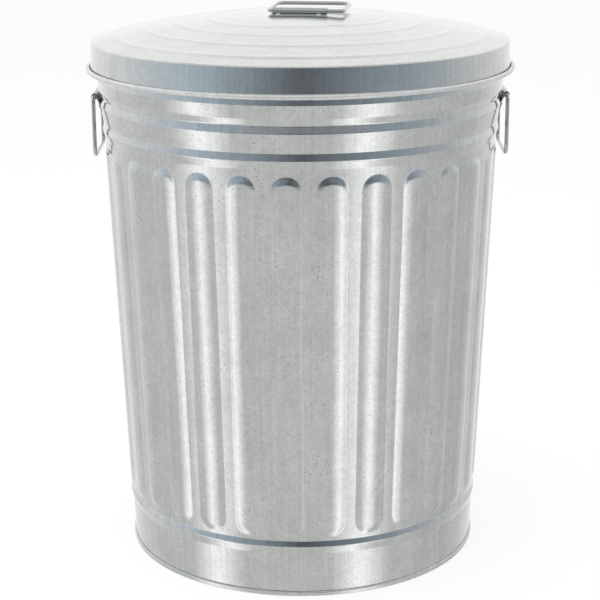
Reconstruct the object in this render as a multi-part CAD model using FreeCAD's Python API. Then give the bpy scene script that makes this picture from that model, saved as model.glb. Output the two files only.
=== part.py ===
import FreeCAD, Part
import math
import os
from FreeCAD import Placement, Rotation, Vector

# Round steel trash can with a lift-off lid. Millimetres, +Z up. The can stands on z = 0 with its
# axis on the Z axis, its front toward -Y and its two side handles at +X and -X.
# Outlines are drawn in the half plane (r, z): r is the distance from the can's axis.

# ---- sheet and fits ----
sheet = 0.5             # galvanised steel sheet of the can, bottom and lid
seam_gap = 0.1          # play between two sheets rolled into one another
seat_gap = 0.05         # play under a rivet head or a bracket flange
free_gap = 0.35         # space between pieces that move apart
weld = 0.001            # faces of one sheet closer than this are joined

# ---- wall of the can ----
rim_height = 661.0      # centre of the wire in the rim
collar_height = 58.0    # upright band, from its foot up to that wire
collar_radius = 256.0
collar_ring_crest = 15.6  # ring pressed in that band: heights above the band's foot
collar_ring_end = 23.0
collar_ring_height = 1.3
shoulder_height = 59.8  # from where the plain wall ends, past the rings, up to the collar's foot
wall_step = 7.1         # the plain wall's upper end stands this far inside the collar
wall_taper = 21.85      # and its foot, carried down to z = 0, this much further in
foot_rise = 9.0         # the wall stands upright this far, then leans outward
base_ring_start = 57.0  # pressed ring near the bottom: lower flank, crest, upper flank
base_ring_crest = 67.2
base_ring_end = 74.5
base_ring_height = 2.15
# rings in the shoulder: depth below the collar's foot, how far the sheet stands out, radius of the bend
shoulder_rings = [(49.8, 2.7, 5.0), (41.0, 0.75, 4.0), (17.7, 3.6, 5.0), (8.4, 1.25, 4.0)]
shoulder_bend = 4.0
rim_wire_radius = 2.0
rim_wire_play = 0.3     # all round the wire, inside the rolled rim
curl_sweep = 300.0      # how far round a rolled edge goes, in degrees

# ---- upright ribs pressed outward, with round ends ----
rib_places = 29         # even steps round the wall; one is left out, where the side seam runs
rib_turn = -3.97        # turn of the rib nearest the front, in degrees
rib_top_drop = 9.2      # the ribs' upper ends below the plain wall's upper end
rib_bottom = 79.0
rib_half_width = 18.5
rib_height = 2.0
rib_root = 3.0          # how deep the rib's block reaches behind the wall's face
side_seam_width = 9.0   # folded seam that closes the wall, at the back
side_seam_height = 1.0

# ---- bottom and its rolled seam ----
chime_height = 6.0
chime_bend = 0.65       # inner radius of the hook at the wall's lower edge
bottom_height = 10.0    # the bottom's upper face
bottom_bend = 3.0
pan_bend = 1.0

# ---- lid ----
lid_play = 2.9          # between the rim's rolled edge and the inside of the lid's skirt
lid_rise = 32.0         # height of the dome above its outer crease
lid_skirt = 33.5        # from the crease down to the centre of the rolled edge
lid_bend = 2.0
lid_bead_radius = 3.0
lid_ring_first = 115.0  # radius of the smallest of the rings pressed in the dome
lid_ring_pitch = 40.0
lid_ring_count = 4
lid_ring_height = 1.1
lid_ring_half_width = 7.0
lid_ring_bend = 14.0

# ---- handles: the same bail and rolled bracket three times ----
wire_radius = 2.5
bail_width = 94.0       # between the centres of the two legs
side_bail_depth = 73.0  # from the pivot to the centre of the grip
lid_bail_depth = 69.0
pivot_corner = 4.5
grip_corner = 11.0
butt_gap = 0.6          # the wire's two ends face each other inside the barrel
bracket_sheet = 1.2
barrel_play = 0.3
barrel_length = 69.0
barrel_sweep = 305.0
flange_corner = 5.0
neck_drop = 3.0         # distances below the pivot, along the flange
flange_drop = 22.5
rivet_drop = 13.0
rivet_half_pitch = 25.5
shank_radius = 1.6
head_radius = 3.2
head_height = 1.7
tail_radius = 2.6
tail_height = 1.0
side_pivot_drop = 8.0   # the side handles pivot this far below the collar's foot
side_stand_off = 0.8    # and their barrels stand this far off the ring behind them
lid_pivot_front = 22.0  # the lid's handle pivots this far in front of the lid's centre
lid_handle_turn = -9.0  # and is turned this much about the vertical, in degrees
lid_bail_swing = 182.0  # its bail lies back, swung this far from hanging along the flange

# ---- worked out from the above ----
wall_top_radius = collar_radius - wall_step
foot_radius = wall_top_radius - wall_taper
collar_bottom = rim_height - collar_height
wall_top = collar_bottom - shoulder_height
upper_rings = [(collar_bottom - depth, out, bend) for depth, out, bend in shoulder_rings]
rib_top = wall_top - rib_top_drop
side_pivot_height = collar_bottom - side_pivot_drop
hook_face = foot_radius + 2 * chime_bend
hook_start = 2.5
curl_face = rim_wire_radius + rim_wire_play
curl_outer = curl_face + sheet
rim_radius = collar_radius + curl_face
rim_outer = rim_radius + curl_outer
skirt_radius = rim_outer + lid_play + sheet
dome_radius = (skirt_radius ** 2 + lid_rise ** 2) / (2 * lid_rise)
barrel_inner = wire_radius + barrel_play
barrel_outer = barrel_inner + bracket_sheet
lid_ring_radii = [lid_ring_first + k * lid_ring_pitch for k in range(lid_ring_count)]

Z = Vector(0, 0, 1)


def wall_radius(z):
    return foot_radius + (wall_top_radius - foot_radius) * z / wall_top


def dome_rise(r):
    # height of the dome above its crease, at distance r from the lid's axis
    return lid_rise - dome_radius + math.sqrt(dome_radius ** 2 - r ** 2)


# the lid's dome rests on the rolled rim; this is the height of its crease
rim_slope = math.asin(rim_radius / dome_radius)
lid_crease = rim_height + (curl_outer + free_gap + sheet) / math.cos(rim_slope) - dome_rise(rim_radius)


# ---------------------------------------------------------------- outlines
# An outline is a chain of ("line", start, end) and ("arc", centre, radius, start angle, sweep),
# where a positive sweep turns left.

def rounded(points):
    # points are (x, y) at the two ends and (x, y, radius) at the bends between them
    chain = []
    start = points[0]
    for before, corner, after in zip(points, points[1:], points[2:]):
        heading_in = math.atan2(corner[1] - before[1], corner[0] - before[0])
        heading_out = math.atan2(after[1] - corner[1], after[0] - corner[0])
        turn = (heading_out - heading_in + math.pi) % (2 * math.pi) - math.pi
        side = math.copysign(1, turn)
        radius = corner[2]
        setback = radius * math.tan(abs(turn) / 2)
        arc_start = (corner[0] - setback * math.cos(heading_in), corner[1] - setback * math.sin(heading_in))
        centre = (arc_start[0] - side * radius * math.sin(heading_in),
                  arc_start[1] + side * radius * math.cos(heading_in))
        if math.dist(start[:2], arc_start) > 1e-6:
            chain.append(("line", start[:2], arc_start))
        chain.append(("arc", centre, radius, heading_in - side * math.pi / 2, turn))
        start = arc_point(chain[-1], 1)
    chain.append(("line", start[:2], points[-1][:2]))
    return chain


def arc_point(arc, share):
    centre, radius, angle = arc[1], arc[2], arc[3] + share * arc[4]
    return (centre[0] + radius * math.cos(angle), centre[1] + radius * math.sin(angle))


def chain_end(chain):
    last = chain[-1]
    return last[2] if last[0] == "line" else arc_point(last, 1)


def chain_start(chain):
    first = chain[0]
    return first[1] if first[0] == "line" else arc_point(first, 0)


def shifted(chain, distance):
    # the same chain moved to its left by the distance, or to its right if that is negative
    moved = []
    for item in chain:
        if item[0] == "line":
            dx, dy = item[2][0] - item[1][0], item[2][1] - item[1][1]
            length = math.hypot(dx, dy)
            step = (-dy / length * distance, dx / length * distance)
            moved.append(("line", (item[1][0] + step[0], item[1][1] + step[1]),
                          (item[2][0] + step[0], item[2][1] + step[1])))
        else:
            moved.append(("arc", item[1], item[2] - math.copysign(distance, item[4] * distance), *item[3:]))
    return moved


def edges(chain, to_space):
    made = []
    for item in chain:
        if item[0] == "line":
            made.append(Part.LineSegment(to_space(item[1]), to_space(item[2])).toShape())
        else:
            made.append(Part.Arc(*[to_space(arc_point(item, share)) for share in (0, 0.5, 1)]).toShape())
    return made


def upright(point):
    # from the half plane (r, z) to space
    return Vector(point[0], 0, point[1])


def joined(start, end):
    return Part.LineSegment(upright(start), upright(end)).toShape()


def sheet_face(one_chain, other_chain):
    # the sheet between two chains, as a flat section
    outline = edges(one_chain, upright) + edges(other_chain, upright)
    outline.append(joined(chain_start(one_chain), chain_start(other_chain)))
    outline.append(joined(chain_end(one_chain), chain_end(other_chain)))
    return Part.Face(Part.Wire(Part.__sortEdges__(outline)))


def turned_sheet(one_chain, other_chain, angle=360):
    return sheet_face(one_chain, other_chain).revolve(Vector(), Z, angle)


def turned_block(chain, reach=0):
    # everything between the chain and the can's axis, carried past both ends by reach
    start, end = chain_start(chain), chain_end(chain)
    low, high = (start[0], start[1] - reach), (end[0], end[1] + reach)
    outline = edges(chain, upright)
    if reach:
        outline += [joined(low, start), joined(end, high)]
    outline += [joined((0, low[1]), low), joined(high, (0, high[1])), joined((0, high[1]), (0, low[1]))]
    face = Part.Face(Part.Wire(Part.__sortEdges__(outline)))
    return face.revolve(Vector(), Z, 360)


def save(shape, name):
    print(name, len(shape.Solids), "solid(s)", round(shape.Volume / 1000, 2), "cm3", shape.isValid())
    shape.exportStep("parts/" + name + ".step")


# ---------------------------------------------------------------- the can's wall

def wall_chain():
    # outer face of the wall, from the seam at the bottom up to the rolled rim
    points = [(foot_radius, hook_start), (wall_radius(foot_rise), foot_rise, 20.0)]
    for z, height, bend in ((base_ring_start, 0, shoulder_bend), (base_ring_crest, base_ring_height, shoulder_bend),
                            (base_ring_end, 0, shoulder_bend), (wall_top, 0, shoulder_bend)):
        points.append((wall_radius(z) + height, z, bend))
    for z, height, bend in upper_rings:
        points.append((wall_radius(z) + height, z, bend))
    points += [(collar_radius, collar_bottom, shoulder_bend),
               (collar_radius + collar_ring_height, collar_bottom + collar_ring_crest, shoulder_bend),
               (collar_radius, collar_bottom + collar_ring_end, shoulder_bend), (collar_radius, rim_height)]
    return rounded(points)


def rib_block(press_radius, half_span):
    # a rib as a round-ended block: X points out of the wall, Z runs along it, and the wall's face
    # is at x = 0. Its straight part is between z = -half_span and z = half_span.
    centre_x = rib_height - press_centre_radius()
    half_root = math.sqrt(press_radius ** 2 - (-rib_root - centre_x) ** 2)
    root_left, root_right = Vector(-rib_root, -half_root, 0), Vector(-rib_root, half_root, 0)
    foot = Vector(-rib_root, 0, 0)
    crest = Vector(centre_x + press_radius, 0, 0)
    shoulder = math.atan2(half_root, -rib_root - centre_x) / 2
    mid = Vector(centre_x + press_radius * math.cos(shoulder), press_radius * math.sin(shoulder), 0)
    half = Part.Face(Part.Wire([Part.LineSegment(foot, root_right).toShape(),
                                Part.Arc(root_right, mid, crest).toShape(),
                                Part.LineSegment(crest, foot).toShape()]))
    full = Part.Face(Part.Wire([Part.LineSegment(root_left, root_right).toShape(),
                                Part.Arc(root_right, crest, root_left).toShape()]))
    straight = full.extrude(Vector(0, 0, 2 * half_span))
    top = half.revolve(Vector(), Vector(1, 0, 0), 180)
    bottom = half.revolve(Vector(), Vector(1, 0, 0), -180)
    straight.translate(Vector(0, 0, -half_span))
    top.translate(Vector(0, 0, half_span))
    bottom.translate(Vector(0, 0, -half_span))
    return straight.fuse([top, bottom]).removeSplitter()


def press_centre_radius():
    # radius of the pressed outer face: it stands rib_height out of the round wall over its width
    middle_radius = wall_radius((rib_top + rib_bottom) / 2)
    sagitta = rib_height + middle_radius - math.sqrt(middle_radius ** 2 - rib_half_width ** 2)
    return (rib_half_width ** 2 + sagitta ** 2) / (2 * sagitta)


def rib_turns():
    # the place nearest the back is left to the side seam
    turns = [rib_turn + 360 / rib_places * k for k in range(rib_places)]
    back = min(turns, key=lambda turn: abs(turn - 180))
    return [turn for turn in turns if turn != back], back


def ribs(thickness):
    # all rib blocks in place; thickness is how far their faces lie behind the pressed outer face
    outer = press_centre_radius()
    end_reach = math.sqrt(outer ** 2 - (outer - rib_height) ** 2)
    middle = (rib_top + rib_bottom) / 2
    lean = math.degrees(math.atan2(wall_top_radius - foot_radius, wall_top))
    half_span = (rib_top - rib_bottom) / 2 / math.cos(math.radians(lean)) - end_reach
    block = rib_block(outer - thickness, half_span)
    block.Placement = Placement(Vector(wall_radius(middle), 0, middle), Rotation(Vector(0, 1, 0), lean))
    placed = []
    for turn in rib_turns()[0]:
        copy = block.copy()
        copy.rotate(Vector(), Z, turn - 90)
        placed.append(copy)
    return placed


def side_seam():
    # the wall's two edges folded together: a flat strip that follows the wall's outline
    chain = wall_chain()
    angle = math.degrees(side_seam_width / wall_radius(wall_top / 2))
    strip = turned_sheet(shifted(chain, -side_seam_height), shifted(chain, sheet / 2), angle)
    low = chime_height + free_gap
    high = rim_height - 2 * curl_outer
    strip = strip.common(Part.makeCylinder(rim_outer, high - low, Vector(0, 0, low)))
    strip.rotate(Vector(), Z, rib_turns()[1] - 90 - angle / 2)
    return strip


def rim_curl():
    arc = ("arc", (rim_radius, rim_height), curl_face, math.pi, -math.radians(curl_sweep))
    return turned_sheet([arc], shifted([arc], sheet))


def body_shell(holes):
    wall = wall_chain()
    outside = turned_block(wall).fuse(ribs(0), weld)
    inside = turned_block(shifted(wall, sheet), 1.0).fuse(ribs(sheet), weld)
    hook_top = chime_height - sheet - seam_gap - chime_bend
    hook = rounded([(hook_face, hook_top), (hook_face, hook_start - 2 * chime_bend, chime_bend),
                    (foot_radius, hook_start - 2 * chime_bend, chime_bend), (foot_radius, hook_start)])
    shell = outside.cut(inside).fuse([turned_sheet(hook, shifted(hook, sheet)), rim_curl(), side_seam()])
    return shell.cut(holes).removeSplitter()


def rim_wire():
    return Part.makeTorus(rim_radius, rim_wire_radius, Vector(0, 0, rim_height))


def bottom_pan():
    # its edge goes down inside the wall, round under it, and is rolled over the wall's hook
    skirt = foot_radius - sheet - seam_gap
    leg = hook_face + sheet + seam_gap
    lip = chime_height - sheet
    upper = rounded([(0, bottom_height), (skirt, bottom_height, bottom_bend), (skirt, sheet, pan_bend),
                     (leg, sheet, pan_bend), (leg, lip, chime_bend), (wall_radius(foot_rise) + seam_gap, lip)])
    return turned_sheet(upper, shifted(upper, -sheet))


# ---------------------------------------------------------------- the lid

def lid_chain():
    # upper face of the lid: round dome, pressed rings, crease, skirt and rolled edge
    def on_dome(radius, height=0):
        return (radius, lid_crease + dome_rise(radius) + height, lid_ring_bend)

    first_foot = lid_ring_radii[0] - lid_ring_half_width
    dome_sweep = math.asin((first_foot - lid_ring_half_width) / dome_radius)
    dome = ("arc", (0, lid_crease + lid_rise - dome_radius), dome_radius, math.pi / 2, -dome_sweep)
    start = arc_point(dome, 1)
    run = first_foot - start[0]
    points = [start, (first_foot, start[1] - run * math.tan(dome_sweep), lid_ring_bend)]
    for radius in lid_ring_radii:
        points += [on_dome(radius, lid_ring_height), on_dome(radius + lid_ring_half_width)]
        if radius != lid_ring_radii[-1]:
            points.append(on_dome(radius + lid_ring_pitch - lid_ring_half_width))
    edge_height = lid_crease - lid_skirt
    points += [(skirt_radius, lid_crease, lid_bend), (skirt_radius, edge_height)]
    face = lid_bead_radius - sheet
    bead = ("arc", (skirt_radius + face, edge_height), face, math.pi, math.radians(curl_sweep))
    return [dome] + rounded(points) + [bead]


def lid_shell(holes):
    top = lid_chain()
    return turned_sheet(top, shifted(top, -sheet)).cut(holes).removeSplitter()


# ---------------------------------------------------------------- handles
# A handle is made in its own frame: the pivot runs along Y through the origin, X points out of the
# face that carries it, and the bracket's flange and the hanging bail go down along -Z.

class Seat:
    # The curved face under a bracket: its centre line is at x = -centre, and on the middle plane
    # its face runs straight from x = high at the foot of the neck to x = low at the flange's edge.
    # The sheet that carries the bracket lies up to gap behind it.
    def __init__(self, centre, neck, high, low, gap):
        self.centre, self.neck, self.high, self.low, self.gap = centre, neck, high, low, gap

    def lean(self):
        return math.atan2(self.high - self.low, flange_drop - self.neck)

    def radius(self, drop):
        share = (drop - self.neck) / (flange_drop - self.neck)
        return self.centre + self.high + (self.low - self.high) * share

    def placement(self, drop, y):
        # X of this placement points straight out of the face
        turn = math.asin(y / self.radius(drop))
        point = Vector(self.radius(drop) * math.cos(turn) - self.centre, y, -drop)
        outward = Rotation(Z, math.degrees(turn)).multiply(Rotation(Vector(0, 1, 0), math.degrees(self.lean())))
        return Placement(point, outward)


def flange_section(seat, drop):
    # the flange cut level at this drop: a strip bent round the seat's centre line
    half = barrel_length / 2
    corners, middles = [], []
    for radius in (seat.radius(drop), seat.radius(drop) + bracket_sheet):
        corners.append([Vector(math.sqrt(radius ** 2 - half ** 2) - seat.centre, y, -drop)
                        for y in (-half, half)])
        middles.append(Vector(radius - seat.centre, 0, -drop))
    return Part.Wire([Part.Arc(corners[0][0], middles[0], corners[0][1]).toShape(),
                      Part.LineSegment(corners[0][1], corners[1][1]).toShape(),
                      Part.Arc(corners[1][1], middles[1], corners[1][0]).toShape(),
                      Part.LineSegment(corners[1][0], corners[0][0]).toShape()])


def neck_section():
    # straight strip where the neck runs into the barrel
    half = barrel_length / 2
    points = [Vector(x, y, -neck_drop) for x, y in ((-barrel_outer, -half), (-barrel_outer, half),
                                                    (-barrel_inner, half), (-barrel_inner, -half))]
    return Part.Wire([Part.LineSegment(a, b).toShape() for a, b in zip(points, points[1:] + points[:1])])


def handle_bracket(seat):
    plate = Part.makeLoft([flange_section(seat, flange_drop), flange_section(seat, seat.neck),
                           neck_section()], True, True)
    roll = [("line", (-barrel_outer, -neck_drop), (-barrel_outer, 0)),
            ("arc", (0, 0), barrel_outer, math.pi, -math.radians(barrel_sweep))]
    barrel = sheet_face(roll, shifted(roll, -bracket_sheet)).extrude(Vector(0, barrel_length, 0))
    barrel.translate(Vector(0, -barrel_length / 2, 0))
    bracket = plate.fuse(barrel).common(corner_block())
    return bracket.cut(rivet_holes(seat)).removeSplitter()


def corner_block():
    # the bracket's outline seen from outside: square at the barrel, round at the flange's corners
    half, top = barrel_length / 2, 2 * barrel_outer
    outline = rounded([(0, top), (half, top, 0.5), (half, -flange_drop, flange_corner),
                       (-half, -flange_drop, flange_corner), (-half, top, 0.5), (0, top)])
    face = Part.Face(Part.Wire(edges(outline, lambda p: Vector(-10 * barrel_outer, p[0], p[1]))))
    return face.extrude(Vector(20 * barrel_outer, 0, 0))


def at_rivets(seat, shape):
    placed = []
    for y in (-rivet_half_pitch, rivet_half_pitch):
        copy = shape.copy()
        copy.Placement = seat.placement(rivet_drop, y)
        placed.append(copy)
    return placed


def rivet_holes(seat):
    return at_rivets(seat, Part.makeCylinder(shank_radius + seam_gap, 20, Vector(-10, 0, 0), Vector(1, 0, 0)))


def rivets(seat):
    # dome head on the flange, shank through flange and sheet, flat tail inside
    outer = bracket_sheet + seat_gap
    inner = -sheet - 2 * seat.gap
    crown_radius = (head_radius ** 2 + head_height ** 2) / (2 * head_height)
    half_way = math.asin(head_radius / crown_radius) / 2
    crown_centre = outer + head_height - crown_radius
    crown = Part.Arc(Vector(outer, head_radius, 0),
                     Vector(crown_centre + crown_radius * math.cos(half_way), crown_radius * math.sin(half_way), 0),
                     Vector(outer + head_height, 0, 0)).toShape()
    points = [Vector(outer + head_height, 0, 0), Vector(inner - tail_height, 0, 0),
              Vector(inner - tail_height, tail_radius, 0), Vector(inner, tail_radius, 0),
              Vector(inner, shank_radius, 0), Vector(outer, shank_radius, 0), Vector(outer, head_radius, 0)]
    outline = [Part.LineSegment(a, b).toShape() for a, b in zip(points, points[1:])]
    rivet = Part.Face(Part.Wire(outline + [crown])).revolve(Vector(), Vector(1, 0, 0), 360)
    return Part.makeCompound(at_rivets(seat, rivet))


def bail(depth, swing=0, slide=0):
    # wire loop that hangs down the -Z axis, then swings about its pivot and slides along it
    half = bail_width / 2
    path = rounded([(butt_gap / 2, 0), (half, 0, pivot_corner), (half, -depth, grip_corner),
                    (-half, -depth, grip_corner), (-half, 0, pivot_corner), (-butt_gap / 2, 0)])
    line = Part.Wire(edges(path, lambda p: Vector(0, p[0], p[1])))
    section = Part.Wire(Part.makeCircle(wire_radius, Vector(0, butt_gap / 2, 0), Vector(0, 1, 0)))
    loop = line.makePipeShell([section], True, False)
    print("bail wire", round(loop.Volume / (math.pi * wire_radius ** 2 * line.Length), 4), "of its own length")
    loop.rotate(Vector(), Vector(0, 1, 0), swing)
    loop.translate(Vector(0, slide, 0))
    return loop


# ---- where the three handles are ----

def side_seat():
    # on the sloping band between the second and third rings
    (low_z, low_out, _), (high_z, high_out, _) = upper_rings[1], upper_rings[2]
    low_radius = wall_radius(low_z) + low_out
    high_radius = wall_radius(high_z) + high_out
    neck = side_pivot_height - high_z
    high = -barrel_outer - side_stand_off
    pivot_radius = high_radius + seat_gap - high
    slope = (high_radius - low_radius) / (high_z - low_z)
    low = high - slope * (flange_drop - neck)
    return Seat(pivot_radius, neck, high, low, seat_gap)


def side_frame(seat, turn):
    return Placement(Vector(), Rotation(Z, turn)).multiply(
        Placement(Vector(seat.centre, 0, side_pivot_height), Rotation()))


def lid_seat():
    # one end of the turned flange is further up the dome than the other
    uneven = barrel_length / 2 * lid_pivot_front * abs(math.sin(math.radians(lid_handle_turn))) / dome_radius
    gap = seat_gap + uneven
    pivot_rise = dome_rise(lid_pivot_front) + gap + barrel_outer
    neck = 2 * barrel_outer
    high = dome_rise(lid_pivot_front + neck) + gap - pivot_rise
    low = dome_rise(lid_pivot_front + flange_drop) + gap - pivot_rise
    return Seat(pivot_rise + dome_radius - lid_rise, neck, high, low, gap)


def lid_frame(seat):
    # the handle's X points up here, and its flange goes toward the front
    upward = Rotation(Vector(0, 0, 1), Vector(1, 0, 0), Vector(0, 1, 0), "XYZ")
    pivot = Vector(0, -lid_pivot_front, lid_crease + seat.centre - dome_radius + lid_rise)
    return Placement(pivot, Rotation(Z, lid_handle_turn).multiply(upward))


def moved(shape, frame):
    copy = shape.copy()
    copy.Placement = frame.multiply(shape.Placement)
    return copy


def all_moved(shapes, frame):
    return [moved(shape, frame) for shape in shapes]


# ---------------------------------------------------------------- the pieces
os.makedirs("parts", exist_ok=True)

on_side, on_lid = side_seat(), lid_seat()
side_frames = {"right": side_frame(on_side, 0), "left": side_frame(on_side, 180)}
lid_place = lid_frame(on_lid)
wall_holes = [hole for frame in side_frames.values() for hole in all_moved(rivet_holes(on_side), frame)]
lid_holes = all_moved(rivet_holes(on_lid), lid_place)

save(body_shell(wall_holes), "body_shell")
save(rim_wire(), "rim_wire")
save(bottom_pan(), "bottom_pan")
save(lid_shell(lid_holes), "lid_shell")

side_bracket, side_rivets, side_bail = handle_bracket(on_side), rivets(on_side), bail(side_bail_depth)
for side, frame in side_frames.items():
    save(moved(side_bracket, frame), side + "_handle_bracket")
    save(moved(side_rivets, frame), side + "_bracket_rivets")
    save(moved(side_bail, frame), side + "_bail")

# the lid's bail lies back, pushed to the right until its bend meets the end of the barrel
lid_bail_slide = bail_width / 2 - pivot_corner - barrel_length / 2 - free_gap
save(moved(handle_bracket(on_lid), lid_place), "lid_handle_bracket")
save(moved(rivets(on_lid), lid_place), "lid_bracket_rivets")
save(moved(bail(lid_bail_depth, lid_bail_swing, lid_bail_slide), lid_place), "lid_bail")

print("lid crease", round(lid_crease, 2), "side pivot", round(on_side.centre, 2), side_pivot_height)
print("lid pivot", [round(value, 2) for value in lid_place.Base], "bail slide", round(lid_bail_slide, 2))
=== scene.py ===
import bpy, math
import numpy as np
from mathutils import Matrix


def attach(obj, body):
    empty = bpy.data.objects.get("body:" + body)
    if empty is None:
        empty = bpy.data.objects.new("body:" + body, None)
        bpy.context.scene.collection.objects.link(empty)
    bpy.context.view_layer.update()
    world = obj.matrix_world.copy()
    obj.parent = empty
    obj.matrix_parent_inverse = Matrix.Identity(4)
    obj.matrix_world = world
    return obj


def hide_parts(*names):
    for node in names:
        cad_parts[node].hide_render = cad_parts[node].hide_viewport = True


# Galvanised trash can with its lid. Metres, +Z up, the front toward -Y.
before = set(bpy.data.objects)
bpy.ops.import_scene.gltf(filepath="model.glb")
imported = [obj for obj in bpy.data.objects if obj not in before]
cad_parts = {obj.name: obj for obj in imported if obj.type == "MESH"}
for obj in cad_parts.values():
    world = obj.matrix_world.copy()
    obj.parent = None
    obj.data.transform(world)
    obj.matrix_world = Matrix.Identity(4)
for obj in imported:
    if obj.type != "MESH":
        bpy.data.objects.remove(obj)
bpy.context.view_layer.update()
mm = 0.001


def colour(code):
    # sRGB hex to linear
    parts = [int(code[k:k + 2], 16) / 255 for k in (1, 3, 5)]
    return [p / 12.92 if p <= 0.04045 else ((p + 0.055) / 1.055) ** 2.4 for p in parts] + [1.0]


def addNode(tree, kind, values=None, **settings):
    # one node, its settings, and its inputs: a number, a colour, or the output socket to link
    node = tree.nodes.new("ShaderNode" + kind)
    for name, value in settings.items():
        setattr(node, name, value)
    for key, value in (values or {}).items():
        socket = node.inputs[key]
        if isinstance(value, bpy.types.NodeSocket):
            tree.links.new(value, socket)
        else:
            socket.default_value = value
    return node


def setStops(ramp, stops, interpolation="LINEAR"):
    # stops are (position, colour or grey level)
    ramp.interpolation = interpolation
    while len(ramp.elements) < len(stops):
        ramp.elements.new(0.5)
    for element, (position, value) in zip(ramp.elements, stops):
        element.position = position
        element.color = value if isinstance(value, list) else [value, value, value, 1]


def bendPath(corners):
    # a sheet's outline in the half plane (r, z): corners are (r, z) at both ends and
    # (r, z, bend radius) between, and it gives straight runs and arcs
    parts, start = [], corners[0][:2]
    for before, here, after in zip(corners, corners[1:], corners[2:]):
        inward = math.atan2(here[1] - before[1], here[0] - before[0])
        outward = math.atan2(after[1] - here[1], after[0] - here[0])
        turn = (outward - inward + math.pi) % (2 * math.pi) - math.pi
        side = math.copysign(1, turn)
        setback = here[2] * math.tan(abs(turn) / 2)
        first = (here[0] - setback * math.cos(inward), here[1] - setback * math.sin(inward))
        centre = (first[0] - side * here[2] * math.sin(inward), first[1] + side * here[2] * math.cos(inward))
        parts.append(("line", start, first))
        parts.append(("arc", centre, here[2], inward - side * math.pi / 2, turn))
        last = inward - side * math.pi / 2 + turn
        start = (centre[0] + here[2] * math.cos(last), centre[1] + here[2] * math.sin(last))
    parts.append(("line", start, corners[-1][:2]))
    return parts


def pathRows(parts, offset, arcStep, cuts=()):
    # rows (r, z, normal r, normal z) along the path, moved by offset to the right of travel;
    # cuts are extra heights wanted on straight runs
    rows = []
    for part in parts:
        if part[0] == "line":
            (r0, z0), (r1, z1) = part[1], part[2]
            length = math.hypot(r1 - r0, z1 - z0)
            if length < 1e-9:
                continue
            normal = ((z1 - z0) / length, -(r1 - r0) / length)
            shares = [0.0, 1.0]
            if abs(z1 - z0) > 1e-6:
                shares += [(z - z0) / (z1 - z0) for z in cuts if 1e-3 < (z - z0) / (z1 - z0) < 0.999]
            for share in sorted(shares):
                rows.append((r0 + (r1 - r0) * share + normal[0] * offset,
                             z0 + (z1 - z0) * share + normal[1] * offset, *normal))
        else:
            _, centre, radius, angle, turn = part
            side = math.copysign(1, turn)
            steps = max(2, math.ceil(math.degrees(abs(turn)) / arcStep))
            for k in range(steps + 1):
                a = angle + turn * k / steps
                normal = (side * math.cos(a), side * math.sin(a))
                rows.append((centre[0] + radius * math.cos(a) + normal[0] * offset,
                             centre[1] + radius * math.sin(a) + normal[1] * offset, *normal))
    kept = [rows[0]]
    for row in rows[1:]:
        if math.dist(row[:2], kept[-1][:2]) > 2e-6:
            kept.append(row)
    return kept


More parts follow.
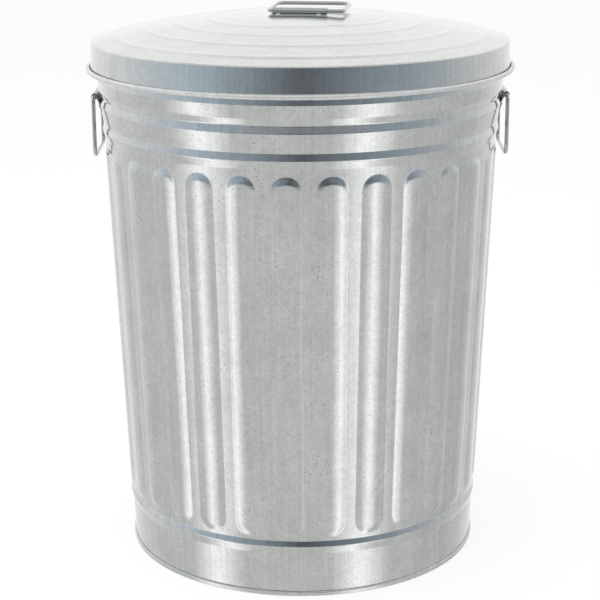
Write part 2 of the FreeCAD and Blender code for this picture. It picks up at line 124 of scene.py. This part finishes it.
def spunSheet(name, outerRows, innerRows, turns, outerLift=None, innerLift=None):
    # closed sheet spun round Z: outer rows one way, inner rows back, flat cut edges between.
    # a lift adds height to the round shape and has its slopes, so the shading stays exact. The inner
    # rows take the second material
    back = [(r, z, -nr, -nz) for r, z, nr, nz in reversed(innerRows)]
    strips = [(outerRows, outerLift)]
    closed = outerRows[0][0] > 1e-9
    for first, second, lift in ((outerRows[-1], back[0], None), (back[-1], outerRows[0], None)):
        dr, dz = second[0] - first[0], second[1] - first[1]
        length = math.hypot(dr, dz)
        normal = (dz / length, -dr / length)
        strips.append(([(first[0], first[1], *normal), (second[0], second[1], *normal)], lift))
    strips = [strips[0], strips[1], (back, innerLift)] + ([strips[2]] if closed else [])
    count = len(turns)
    sinA, cosA = np.sin(turns), np.cos(turns)
    points, loopVerts, loopNormals, sizes, inside = [], [], [], [], []
    base = 0
    total = sum(len(rows) - 1 for rows, _ in strips) + (0 if closed else 1)
    for index, (rows, lift) in enumerate(strips):
        data = np.array(rows)
        r, z = data[:, 0][:, None], data[:, 1][:, None]
        nr, nz = data[:, 2][:, None], data[:, 3][:, None]
        zero = np.zeros((len(rows), count))
        h, ha, hz = lift(turns[None, :], z, r) if lift else (zero, zero, zero)
        radial = (r + h) * np.ones((1, count))
        grid = np.stack([radial * sinA, -radial * cosA, z * np.ones((1, count))], -1)
        tr = -nz + hz * nr
        n1, n2, n3 = radial * nr, -ha * nr, -radial * tr
        away = np.stack([n1 * sinA + n2 * cosA, -n1 * cosA + n2 * sinA, n3], -1)
        onAxis = data[:, 0] < 1e-9
        away[onAxis] = [0, 0, 1]
        away[onAxis] *= np.sign(nz[onAxis])[:, :, None]
        away /= np.linalg.norm(away, axis=-1, keepdims=True)
        last = index == len(strips) - 1
        points.append(grid if last and not closed else grid[:-1])
        a = np.arange(count)
        b = (a + 1) % count
        for i in range(len(rows) - 1):
            low, high = (base + i) * count, ((base + i + 1) % total if closed else base + i + 1) * count
            if onAxis[i]:
                loopVerts.append(np.stack([low + 0 * a, high + b, high + a], -1).ravel())
                loopNormals.append(np.stack([away[i, a], away[i + 1, b], away[i + 1, a]], 1).reshape(-1, 3))
                sizes.append(np.full(count, 3))
            elif onAxis[i + 1]:
                loopVerts.append(np.stack([low + a, low + b, high + 0 * a], -1).ravel())
                loopNormals.append(np.stack([away[i, a], away[i, b], away[i + 1, a]], 1).reshape(-1, 3))
                sizes.append(np.full(count, 3))
            else:
                loopVerts.append(np.stack([low + a, low + b, high + b, high + a], -1).ravel())
                loopNormals.append(np.stack([away[i, a], away[i, b], away[i + 1, b], away[i + 1, a]],
                                            1).reshape(-1, 3))
                sizes.append(np.full(count, 4))
        inside.append(np.full((len(rows) - 1) * count, int(index == 2)))
        base += len(rows) - 1
    verts = np.concatenate([p.reshape(-1, 3) for p in points])
    loopVerts = np.concatenate(loopVerts).astype(np.int32)
    sizes = np.concatenate(sizes).astype(np.int32)
    # a centre row is one point: its other copies go
    used, loopVerts = np.unique(loopVerts, return_inverse=True)
    verts = verts[used]
    mesh = bpy.data.meshes.new(name)
    mesh.vertices.add(len(verts))
    mesh.vertices.foreach_set("co", verts.astype(np.float32).ravel())
    mesh.loops.add(len(loopVerts))
    mesh.loops.foreach_set("vertex_index", loopVerts.astype(np.int32).ravel())
    mesh.polygons.add(len(sizes))
    mesh.polygons.foreach_set("loop_start", (np.cumsum(sizes) - sizes).astype(np.int32))
    mesh.update(calc_edges=True)
    mesh.polygons.foreach_set("use_smooth", np.ones(len(sizes), bool))
    mesh.polygons.foreach_set("material_index", np.concatenate(inside).astype(np.int32))
    mesh.normals_split_custom_set(np.concatenate(loopNormals).astype(np.float32))
    made = bpy.data.objects.new(name, mesh)
    bpy.context.scene.collection.objects.link(made)
    return made


zinc = {
    "sheet": "#E9EAEA",       # bright zinc
    "tarnish": "#B7BBB7",     # where it has dulled, a little greener
    "speck": "#565858",
    "wire": "#CBCDCE",
    "plate": "#CFD2D0",
    "rivet": "#DADBDB",
    "spangle": 5.0,           # mm across a zinc crystal
    "grain": 1.3,             # mm between the fine marks of the dip, drawn coarse enough to show
    "streak": 4.0,            # mm across a faint streak left by the rollers
    "cloud": 45.0,            # mm across a duller patch
    "speckPitch": 3.2,        # mm between the places of the dark specks of dross, few of which hold one
    "speckRadius": 0.75,
    "swell": 62.5,            # mm across a slight wave in the sheet
    "rollRadius": 0.245,      # metres, at which the streaks have their width
    "rollStretch": 0.03,      # height counts only this much, so a streak is long and upright
    # how much each makes of the mottle, and what brings that to 0.5 on the whole
    "crystalShare": 0.16, "grainShare": 0.9, "cloudShare": 0.4, "mottleDrop": 0.23,
    "dullRough": 1.15, "brightRough": 0.9,
    "streakBump": 0.03, "grainBump": 0.010,
}


def zincSteel(name, tint, roughness, mottled, streaks=0.0, streaksBeyond=0.0, specks=0.0, ripple=0.0,
              anisotropy=0.0, dull=0.0, dullWithin=1.0):
    # hot dip galvanised steel: a soft mirror, faintly mottled by its zinc crystals, with upright streaks
    # from the rollers and small dark specks of dross. Inside the can the zinc has gone dull, which
    # takes away some of the mirror
    material = bpy.data.materials.new(name)
    material.use_nodes = True
    tree = material.node_tree
    shader = tree.nodes["Principled BSDF"]
    place = addNode(tree, "TexCoord").outputs["Object"]
    axes = addNode(tree, "SeparateXYZ", {0: place}).outputs
    around = addNode(tree, "Math", {0: axes["X"], 1: axes["Y"]}, operation="ARCTAN2").outputs[0]
    along = addNode(tree, "Math", {0: around, 1: zinc["rollRadius"]}, operation="MULTIPLY").outputs[0]
    high = addNode(tree, "Math", {0: axes["Z"], 1: zinc["rollStretch"]}, operation="MULTIPLY").outputs[0]
    rolled = addNode(tree, "CombineXYZ", {0: along, 1: high}).outputs[0]
    flat = addNode(tree, "CombineXYZ", {0: axes["X"], 1: axes["Y"]}).outputs[0]
    outward = addNode(tree, "VectorMath", {0: flat}, operation="LENGTH").outputs["Value"]

    crystals = addNode(tree, "TexVoronoi", {"Vector": place, "Scale": 1 / (zinc["spangle"] * mm)})
    crystal = addNode(tree, "SeparateColor", {0: crystals.outputs["Color"]}).outputs["Red"]
    grain = addNode(tree, "TexNoise", {"Vector": place, "Scale": 1 / (zinc["grain"] * mm), "Detail": 2.0})
    cloud = addNode(tree, "TexNoise", {"Vector": place, "Scale": 1 / (zinc["cloud"] * mm), "Detail": 4.0})
    streak = addNode(tree, "TexNoise", {"Vector": rolled, "Scale": 1 / (zinc["streak"] * mm), "Detail": 3.0})
    rolledHere = addNode(tree, "MapRange", {"Value": outward, "From Min": streaksBeyond,
                                            "From Max": streaksBeyond + mm, "To Max": streaks}).outputs["Result"]
    streak = addNode(tree, "Math", {0: streak.outputs["Fac"], 1: 0.5}, operation="SUBTRACT").outputs[0]
    streak = addNode(tree, "Math", {0: streak, 1: rolledHere}, operation="MULTIPLY").outputs[0]

    # crystals, grain, duller patches and streaks together
    mottle = addNode(tree, "Math", {0: crystal, 1: zinc["crystalShare"], 2: streak},
                     operation="MULTIPLY_ADD").outputs[0]
    mottle = addNode(tree, "Math", {0: grain.outputs["Fac"], 1: zinc["grainShare"], 2: mottle},
                     operation="MULTIPLY_ADD").outputs[0]
    mottle = addNode(tree, "Math", {0: cloud.outputs["Fac"], 1: zinc["cloudShare"], 2: mottle},
                     operation="MULTIPLY_ADD").outputs[0]
    mottle = addNode(tree, "Math", {0: mottle, 1: zinc["mottleDrop"]}, operation="SUBTRACT").outputs[0]
    level = addNode(tree, "MapRange", {"Value": mottle, "From Min": 0.5 - 0.5 / mottled,
                                       "From Max": 0.5 + 0.5 / mottled}).outputs["Result"]
    sheet = addNode(tree, "Mix", {"Factor": level, 6: colour(zinc["tarnish"]), 7: colour(tint)},
                    data_type="RGBA").outputs[2]
    rough = addNode(tree, "MapRange", {"Value": level, "To Min": roughness * zinc["dullRough"],
                                       "To Max": roughness * zinc["brightRough"]}).outputs["Result"]

    # only some of the specks' places hold one, and they differ in size
    dots = addNode(tree, "TexVoronoi", {"Vector": place, "Scale": 1 / (zinc["speckPitch"] * mm)})
    size = addNode(tree, "SeparateColor", {0: dots.outputs["Color"]}).outputs["Green"]
    near = zinc["speckRadius"] / zinc["speckPitch"]
    crowded = addNode(tree, "MapRange", {"Value": cloud.outputs["Fac"], "From Min": 0.35, "From Max": 0.65,
                                         "To Min": -near * 0.8, "To Max": near * 0.1}).outputs["Result"]
    edge = addNode(tree, "Math", {0: size, 1: near * 1.2, 2: crowded}, operation="MULTIPLY_ADD").outputs[0]
    inside = addNode(tree, "Math", {0: edge, 1: dots.outputs["Distance"]}, operation="SUBTRACT").outputs[0]
    dot = addNode(tree, "MapRange", {"Value": inside, "From Max": near * 0.2, "To Max": specks}).outputs["Result"]
    base = addNode(tree, "Mix", {"Factor": dot, 6: sheet, 7: colour(zinc["speck"])}, data_type="RGBA").outputs[2]

    swell = addNode(tree, "TexNoise", {"Vector": place, "Scale": 1 / (zinc["swell"] * mm), "Detail": 1.0})
    height = addNode(tree, "Math", {0: swell.outputs["Fac"], 1: ripple}, operation="MULTIPLY").outputs[0]
    height = addNode(tree, "Math", {0: streak, 1: zinc["streakBump"], 2: height}, operation="MULTIPLY_ADD").outputs[0]
    height = addNode(tree, "Math", {0: grain.outputs["Fac"], 1: zinc["grainBump"] * mottled, 2: height},
                     operation="MULTIPLY_ADD").outputs[0]
    bump = addNode(tree, "Bump", {"Height": height, "Distance": mm, "Strength": 1.0}).outputs[0]

    tree.links.new(base, shader.inputs["Base Color"])
    tree.links.new(rough, shader.inputs["Roughness"])
    tree.links.new(bump, shader.inputs["Normal"])
    shader.inputs["Metallic"].default_value = 1.0 - dull
    if dullWithin < 1.0:
        metal = addNode(tree, "MapRange", {"Value": outward, "From Min": dullWithin, "From Max": dullWithin + mm,
                                           "To Min": 1.0 - dull, "To Max": 1.0}).outputs["Result"]
        tree.links.new(metal, shader.inputs["Metallic"])
    if anisotropy:
        # the rollers' marks run round the can, so a light is drawn out up and down the wall
        turn = addNode(tree, "Tangent", direction_type="RADIAL", axis="Z").outputs[0]
        tree.links.new(turn, shader.inputs["Tangent"])
        shader.inputs["Anisotropic"].default_value = anisotropy
        shader.inputs["Anisotropic Rotation"].default_value = 0.25
    return material


canZinc = zincSteel("galvanisedCanSheet", zinc["sheet"], 0.13, 1.2, streaks=0.5, specks=0.6, ripple=0.35,
                    anisotropy=0.35)
lidZinc = zincSteel("galvanisedLidSheet", zinc["sheet"], 0.16, 0.9, streaks=0.9, streaksBeyond=0.262, specks=0.3,
                    ripple=0.3)
insideZinc = zincSteel("galvanisedSheetInside", zinc["sheet"], 0.34, 1.2, streaks=0.5, specks=0.6, dull=0.35)
bottomZinc = zincSteel("galvanisedBottomSheet", zinc["sheet"], 0.20, 1.2, specks=0.6, dull=0.35, dullWithin=0.2262)
plateZinc = zincSteel("galvanisedBracketPlate", zinc["plate"], 0.28, 0.8, specks=0.4)
wireZinc = zincSteel("galvanisedWire", zinc["wire"], 0.12, 0.4)
rivetZinc = zincSteel("zincPlatedRivet", zinc["rivet"], 0.16, 0.3)
print("materials ready")


can = {
    "sheet": 0.5, "seamPlay": 0.1,
    "footRadius": 227.05, "topRadius": 248.9, "wallTop": 543.2, "footRise": 9.0, "footBend": 20.0,
    # pressed rings: height, how far out of the wall's line, bend
    "baseRing": [(57.0, 0.0, 4.0), (67.2, 2.15, 4.0), (74.5, 0.0, 4.0)],
    "shoulder": [(543.2, 0.0, 4.0), (553.2, 2.7, 5.0), (562.0, 0.75, 4.0), (585.3, 3.6, 5.0), (594.6, 1.25, 4.0)],
    "collarFoot": 603.0, "collarRadius": 256.0, "collarBend": 4.0,
    "collarRing": [(618.6, 1.3), (626.0, 0.0)],
    "rimHeight": 661.0, "curlFace": 2.3, "curlSweep": 300.0,
    "hookBend": 0.65, "hookStart": 2.5, "chimeHeight": 6.0,
    "ribPlaces": 29, "ribTurn": -3.97, "ribTop": 534.0, "ribBottom": 79.0,
    "ribHalfWidth": 18.5, "ribHeight": 2.0,
    "ribEndSlope": 0.27,      # how steeply the bevel round a rib's end rises
    "ribCrease": 0.40,        # softness, in height, of the edge between bevel and crest
    "ribFillet": 0.08,        # of the foot along the sides
    "ribEndFillet": 0.16,     # and this much more round the ends
    "seamHalfWidth": 4.5, "seamHeight": 1.0, "seamLow": 6.35, "seamHigh": 655.4,
    "outerStep": 4.0, "innerStep": 9.0,       # degrees of an arc between two rows
    # columns: distances to each side of a rib's or the seam's middle, and one halfway to the next
    "columnRadius": 241.0, "halfway": 26.0,
    "ribColumns": [0.0, 3.2, 6.2, 8.9, 11.2, 13.2, 14.8, 16.1, 17.1, 17.7, 18.3, 18.9, 19.5, 20.3, 21.4, 22.8, 24.4],
    "seamColumns": [0.0, 1.5, 3.0, 3.9, 4.2, 4.45, 4.7, 5.0, 6.5, 9.0, 12.0, 15.5, 19.0, 22.5],
    # rows: 1 mm apart over the ribs' two ends, and these heights besides
    "endRows": 29, "topEndFrom": -26, "bottomEndFrom": -2.5,
    "moreRows": [6.1, 6.4, 6.6, 6.9, 160, 220, 280, 340, 400, 450, 640, 654.7, 655.0, 655.3, 655.6],
}


def wallLine(z):
    return can["footRadius"] + (can["topRadius"] - can["footRadius"]) * z / can["wallTop"]


pitch = 2 * math.pi / can["ribPlaces"]
ribZero = math.radians(can["ribTurn"])
seamPlace = round((math.pi - ribZero) / pitch)
seamTurn = ribZero + seamPlace * pitch


def ribLift(turn, z, r):
    # height of the pressed ribs at this turn (radians from the front), z and r in metres
    place = np.round((turn - ribZero) / pitch)
    u = (turn - ribZero - place * pitch) * r / mm
    half = can["ribHalfWidth"]
    v = np.maximum(z / mm - can["ribTop"] + half, 0) + np.minimum(z / mm - can["ribBottom"] - half, 0)
    crest = can["ribHeight"] * (1 - (u / half) ** 2)
    bevel = can["ribEndSlope"] * (half - np.sqrt(u ** 2 + v ** 2))
    onEnd = np.minimum(np.abs(v) / 6, 1)
    raw = 0.5 * (crest + bevel - np.sqrt((crest - bevel) ** 2 + (can["ribCrease"] * onEnd) ** 2))
    fillet = can["ribFillet"] + can["ribEndFillet"] * onEnd
    raw = np.where(place % can["ribPlaces"] == seamPlace % can["ribPlaces"], -50.0, raw)
    return 0.5 * (raw + np.sqrt(raw ** 2 + fillet ** 2)) * mm


def seamLift(turn, z, r):
    # the folded side seam: a flat strip with soft edges
    u = np.abs((turn - seamTurn + math.pi) % (2 * math.pi) - math.pi) * r / mm
    across = np.clip((can["seamHalfWidth"] + 0.35 - u) / 0.7, 0, 1)
    upDown = np.clip((z / mm - can["seamLow"]) / 0.5, 0, 1) * np.clip((can["seamHigh"] - z / mm) / 0.5, 0, 1)
    smooth = across * across * (3 - 2 * across) * upDown * upDown * (3 - 2 * upDown)
    return can["seamHeight"] * smooth * mm


def withSlopes(height):
    # a lift and its slopes round and up the wall
    def lift(turn, z, r):
        da, dz = 2e-5, 5e-6
        h = height(turn, z, r)
        ha = (height(turn + da, z, r) - height(turn - da, z, r)) / (2 * da)
        hz = (height(turn, z + dz, r) - height(turn, z - dz, r)) / (2 * dz)
        return h, ha, hz
    return lift


def metres(corners):
    return [tuple(value * mm for value in corner) for corner in corners]


def ribColumns():
    # columns close together at the ribs' edges, and at the side seam's
    def bothSides(half):
        return [u / can["columnRadius"] for u in sorted(set([-u for u in half] + half)) + [can["halfway"]]]

    turns = [ribZero + k * pitch + u for k in range(can["ribPlaces"]) if k != seamPlace % can["ribPlaces"]
             for u in bothSides(can["ribColumns"])]
    turns += [seamTurn + u for u in bothSides(can["seamColumns"])]
    return np.array(sorted((t + math.pi) % (2 * math.pi) - math.pi for t in turns))


def makeCan():
    corners = [(can["footRadius"], can["hookStart"]), (wallLine(can["footRise"]), can["footRise"], can["footBend"])]
    for z, out, bend in can["baseRing"] + can["shoulder"]:
        corners.append((wallLine(z) + out, z, bend))
    for z, out in [(can["collarFoot"], 0.0)] + can["collarRing"]:
        corners.append((can["collarRadius"] + out, z, can["collarBend"]))
    corners.append((can["collarRadius"], can["rimHeight"]))
    wall = bendPath(metres(corners))
    curlCentre = ((can["collarRadius"] + can["curlFace"]) * mm, can["rimHeight"] * mm)
    curl = ("arc", curlCentre, can["curlFace"] * mm, math.pi, -math.radians(can["curlSweep"]))
    hookFace, low = can["footRadius"] + 2 * can["hookBend"], can["hookStart"] - 2 * can["hookBend"]
    hookTop = can["chimeHeight"] - can["sheet"] - can["seamPlay"] - can["hookBend"]
    hook = bendPath(metres([(hookFace, hookTop), (hookFace, low, can["hookBend"]),
                            (can["footRadius"], low, can["hookBend"]), (can["footRadius"], can["hookStart"])]))
    path = hook + wall + [curl]
    starts = (can["ribTop"] + can["topEndFrom"], can["ribBottom"] + can["bottomEndFrom"])
    ends = [start + k for start in starts for k in range(can["endRows"])]
    rows = [z * mm for z in ends + can["moreRows"]]
    outer = pathRows(path, 0.0, can["outerStep"], rows)
    inner = pathRows(path, -can["sheet"] * mm, can["innerStep"], rows)
    ribsOnly = withSlopes(ribLift)
    both = withSlopes(lambda turn, z, r: ribLift(turn, z, r) + seamLift(turn, z, r))
    piece = spunSheet("canWall", outer, inner, ribColumns(), both, ribsOnly)
    piece.data.materials.append(canZinc)
    piece.data.materials.append(insideZinc)
    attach(piece, "can")
    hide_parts("body_shell")
    return piece


canWall = makeCan()
print("can wall", len(canWall.data.polygons), "faces")


lid = {
    "sheet": 0.5, "skirtRadius": 264.5, "draft": 0.7, "crease": 663.25, "rise": 32.0, "skirt": 33.5, "bend": 2.0,
    "beadRadius": 3.0, "beadSweep": 300.0,
    "rings": [115.0, 155.0, 195.0, 235.0], "ringPitch": 40.0, "ringHeight": 1.1, "ringHalfWidth": 7.0,
    "ringBend": 14.0, "columns": 400,
    "domeStep": 0.6, "upperStep": 2.0, "lowerStep": 4.0,      # degrees of an arc between two rows
}


def makeLid():
    domeRadius = (lid["skirtRadius"] ** 2 + lid["rise"] ** 2) / (2 * lid["rise"])

    def onDome(r, up=0.0):
        return (r, lid["crease"] + lid["rise"] - domeRadius + math.sqrt(domeRadius ** 2 - r * r) + up, lid["ringBend"])

    firstFoot = lid["rings"][0] - lid["ringHalfWidth"]
    sweep = math.asin((firstFoot - lid["ringHalfWidth"]) / domeRadius)
    top = (0.0, (lid["crease"] + lid["rise"] - domeRadius) * mm)
    dome = ("arc", top, domeRadius * mm, math.pi / 2, -sweep)
    start = (domeRadius * math.sin(sweep), top[1] / mm + domeRadius * math.cos(sweep))
    corners = [start, (firstFoot, start[1] - (firstFoot - start[0]) * math.tan(sweep), lid["ringBend"])]
    for r in lid["rings"]:
        corners += [onDome(r, lid["ringHeight"]), onDome(r + lid["ringHalfWidth"])]
        if r != lid["rings"][-1]:
            corners.append(onDome(r + lid["ringPitch"] - lid["ringHalfWidth"]))
    edge = lid["crease"] - lid["skirt"]
    # the skirt widens a little toward the bead, so that the lid drops on easily
    wide, narrow = lid["skirtRadius"] + lid["draft"], lid["skirtRadius"] - lid["draft"]
    corners += [(narrow, lid["crease"], lid["bend"]), (wide, edge)]
    face = lid["beadRadius"] - lid["sheet"]
    bead = ("arc", ((wide + face) * mm, edge * mm), face * mm, math.pi, math.radians(lid["beadSweep"]))
    rest = bendPath(metres(corners)) + [bead]

    def rows(thickness, step):
        # travel goes outward and down, so what pathRows takes for the outside is the lid's underside
        run = pathRows([dome], thickness, lid["domeStep"])
        run += [row for row in pathRows(rest, thickness, step) if math.dist(row[:2], run[-1][:2]) > 2e-6]
        return [(0.0, run[0][1], 0.0, 1.0)] + [(r, z, -nr, -nz) for r, z, nr, nz in run[1:]]

    upper, lower = rows(0.0, lid["upperStep"]), rows(lid["sheet"] * mm, lid["lowerStep"])
    turns = np.linspace(math.pi, -math.pi, lid["columns"], endpoint=False)
    piece = spunSheet("lidSheet", upper, lower, turns)
    piece.data.materials.append(lidZinc)
    piece.data.materials.append(insideZinc)
    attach(piece, "lid")
    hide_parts("lid_shell")
    return piece


lidSheet = makeLid()
print("lid", len(lidSheet.data.polygons), "faces")


# the pieces that keep their CAD shape
finishes = {
    "bottom_pan": bottomZinc, "rim_wire": wireZinc,
    "left_handle_bracket": plateZinc, "right_handle_bracket": plateZinc, "lid_handle_bracket": plateZinc,
    "left_bracket_rivets": rivetZinc, "right_bracket_rivets": rivetZinc, "lid_bracket_rivets": rivetZinc,
    "left_bail": wireZinc, "right_bail": wireZinc, "lid_bail": wireZinc,
}
for node, material in finishes.items():
    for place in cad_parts[node].material_slots:
        place.material = material
print("handles finished")


studio = {
    "floor": "#F8F8F7",
    "floorWhite": 0.84,       # share of plain white that the camera and the metal see in the floor
    "floorHalf": 12.0,
    "ambient": 0.85,
    "lampPower": 60.0, "lampSize": 2.4, "lampPlace": (-0.6, -0.4, 3.0),
    "brightest": 1.5,
    "overhead": 0.7,
    "coolTint": (0.85, 1.0, 1.15), "tintGone": 110, "tintFade": 50,       # degrees from the front
    # brightness round the room, by direction: degrees from the front, positive toward +X. A plain pale
    # floor with the pool of a window on each side, a room that is dark in front and white behind, and
    # paler higher up
    "paleFloor": [(-180, 1.0), (-110, 0.7), (-80, 0.7), (-60, 1.4), (-40, 0.7), (20, 0.7), (40, 1.4), (60, 0.7),
                  (110, 0.6), (180, 1.0)],
    "room": [(-180, 1.1), (-120, 0.9), (-60, 0.6), (0, 0.12), (60, 0.4), (120, 0.8), (180, 1.1)],
    "roomTop": [(-180, 1.1), (-100, 1.0), (0, 0.6), (100, 1.0), (180, 1.1)],
}


def roundTheRoom(tree, swing, name, tint=(1, 1, 1)):
    # brightness by direction; the tint fades out toward the back
    stops = []
    for degrees, value in studio[name]:
        share = min(max((studio["tintGone"] - abs(degrees)) / studio["tintFade"], 0), 1)
        stops.append((degrees / 360 + 0.5, [value / studio["brightest"] * (1 + share * (t - 1)) for t in tint] + [1]))
    ramp = addNode(tree, "ValToRGB", {0: swing})
    setStops(ramp.color_ramp, stops)
    return ramp.outputs[0]


half = studio["floorHalf"]
floorMesh = bpy.data.meshes.new("floor")
floorMesh.from_pydata([(-half, -half, 0), (half, -half, 0), (half, half, 0), (-half, half, 0)], [], [(0, 1, 2, 3)])
floor = bpy.data.objects.new("floor", floorMesh)
bpy.context.scene.collection.objects.link(floor)
floor.visible_glossy = False

paper = bpy.data.materials.new("paleFloorPaper")
paper.use_nodes = True
tree = paper.node_tree
tree.nodes.remove(tree.nodes["Principled BSDF"])
path = addNode(tree, "LightPath").outputs
sees = addNode(tree, "Math", {0: path["Is Camera Ray"], 1: path["Is Glossy Ray"]}, operation="MAXIMUM").outputs[0]
sees = addNode(tree, "Math", {0: sees, 1: path["Is Transmission Ray"]}, operation="MAXIMUM").outputs[0]
share = addNode(tree, "Math", {0: sees, 1: studio["floorWhite"]}, operation="MULTIPLY").outputs[0]
lit = addNode(tree, "BsdfDiffuse", {"Color": colour(studio["floor"])}).outputs[0]
plain = addNode(tree, "Emission", {"Color": [1, 1, 1, 1], "Strength": 1.0}).outputs[0]
mixed = addNode(tree, "MixShader", {0: share, 1: lit, 2: plain}).outputs[0]
tree.links.new(mixed, tree.nodes["Material Output"].inputs["Surface"])
floorMesh.materials.append(paper)

# The room as the metal sees it: white paper behind, pale floor below with two pools of window light on
# it, and a darker room in front.
world = bpy.data.worlds.new("studio")
bpy.context.scene.world = world
world.use_nodes = True
tree = world.node_tree
way = addNode(tree, "SeparateXYZ", {0: addNode(tree, "TexCoord").outputs["Generated"]}).outputs
toFront = addNode(tree, "Math", {0: way["Y"], 1: -1.0}, operation="MULTIPLY").outputs[0]
swing = addNode(tree, "Math", {0: way["X"], 1: toFront}, operation="ARCTAN2").outputs[0]
swing = addNode(tree, "Math", {0: swing, 1: 1 / (2 * math.pi), 2: 0.5}, operation="MULTIPLY_ADD").outputs[0]
rise = addNode(tree, "Math", {0: way["Z"]}, operation="ARCSINE").outputs[0]
room = roundTheRoom(tree, swing, "paleFloor")
for low, high, seen in ((-15, -6, roundTheRoom(tree, swing, "room", studio["coolTint"])),
                        (12, 18, roundTheRoom(tree, swing, "roomTop")),
                        (36, 62, [studio["overhead"] / studio["brightest"]] * 3 + [1])):
    above = addNode(tree, "MapRange", {"Value": rise, "From Min": math.radians(low), "From Max": math.radians(high)},
                    interpolation_type="SMOOTHSTEP").outputs["Result"]
    room = addNode(tree, "Mix", {"Factor": above, 6: room, 7: seen}, data_type="RGBA").outputs[2]
room = addNode(tree, "VectorMath", {0: room, 3: studio["brightest"]}, operation="SCALE").outputs[0]
path = addNode(tree, "LightPath").outputs
seen = addNode(tree, "Mix", {"Factor": path["Is Glossy Ray"], 6: [studio["ambient"]] * 3 + [1], 7: room},
               data_type="RGBA").outputs[2]
paperWhite = addNode(tree, "Math", {0: path["Is Camera Ray"], 1: path["Is Transmission Ray"]}, operation="MAXIMUM")
seen = addNode(tree, "Mix", {"Factor": paperWhite.outputs[0], 6: seen, 7: [1, 1, 1, 1]}, data_type="RGBA").outputs[2]
tree.links.new(seen, tree.nodes["Background"].inputs["Color"])
tree.nodes["Background"].inputs["Strength"].default_value = 1.0

lamp = bpy.data.lights.new("softbox", "AREA")
lamp.energy = studio["lampPower"]
lamp.size = studio["lampSize"]
softbox = bpy.data.objects.new("softbox", lamp)
bpy.context.scene.collection.objects.link(softbox)
softbox.location = studio["lampPlace"]
softbox.visible_glossy = False
softbox.visible_camera = False

view = {
    "place": (0.0, -2.1256, 0.92835), "down": 0.27978, "roll": -0.00528,
    "lens": 100.345, "sensor": 36.0, "shift": -0.0025,
}
cameraData = bpy.data.cameras.new("camera")
cameraData.sensor_width = view["sensor"]
cameraData.sensor_fit = "HORIZONTAL"
cameraData.lens = view["lens"]
cameraData.shift_x = view["shift"]
camera = bpy.data.objects.new("camera", cameraData)
bpy.context.scene.collection.objects.link(camera)
camera.matrix_world = (Matrix.Translation(view["place"]) @ Matrix.Rotation(math.pi / 2 - view["down"], 4, "X")
                       @ Matrix.Rotation(view["roll"], 4, "Z"))
bpy.context.scene.camera = camera
bpy.context.scene.view_settings.view_transform = "Standard"
print("studio ready")
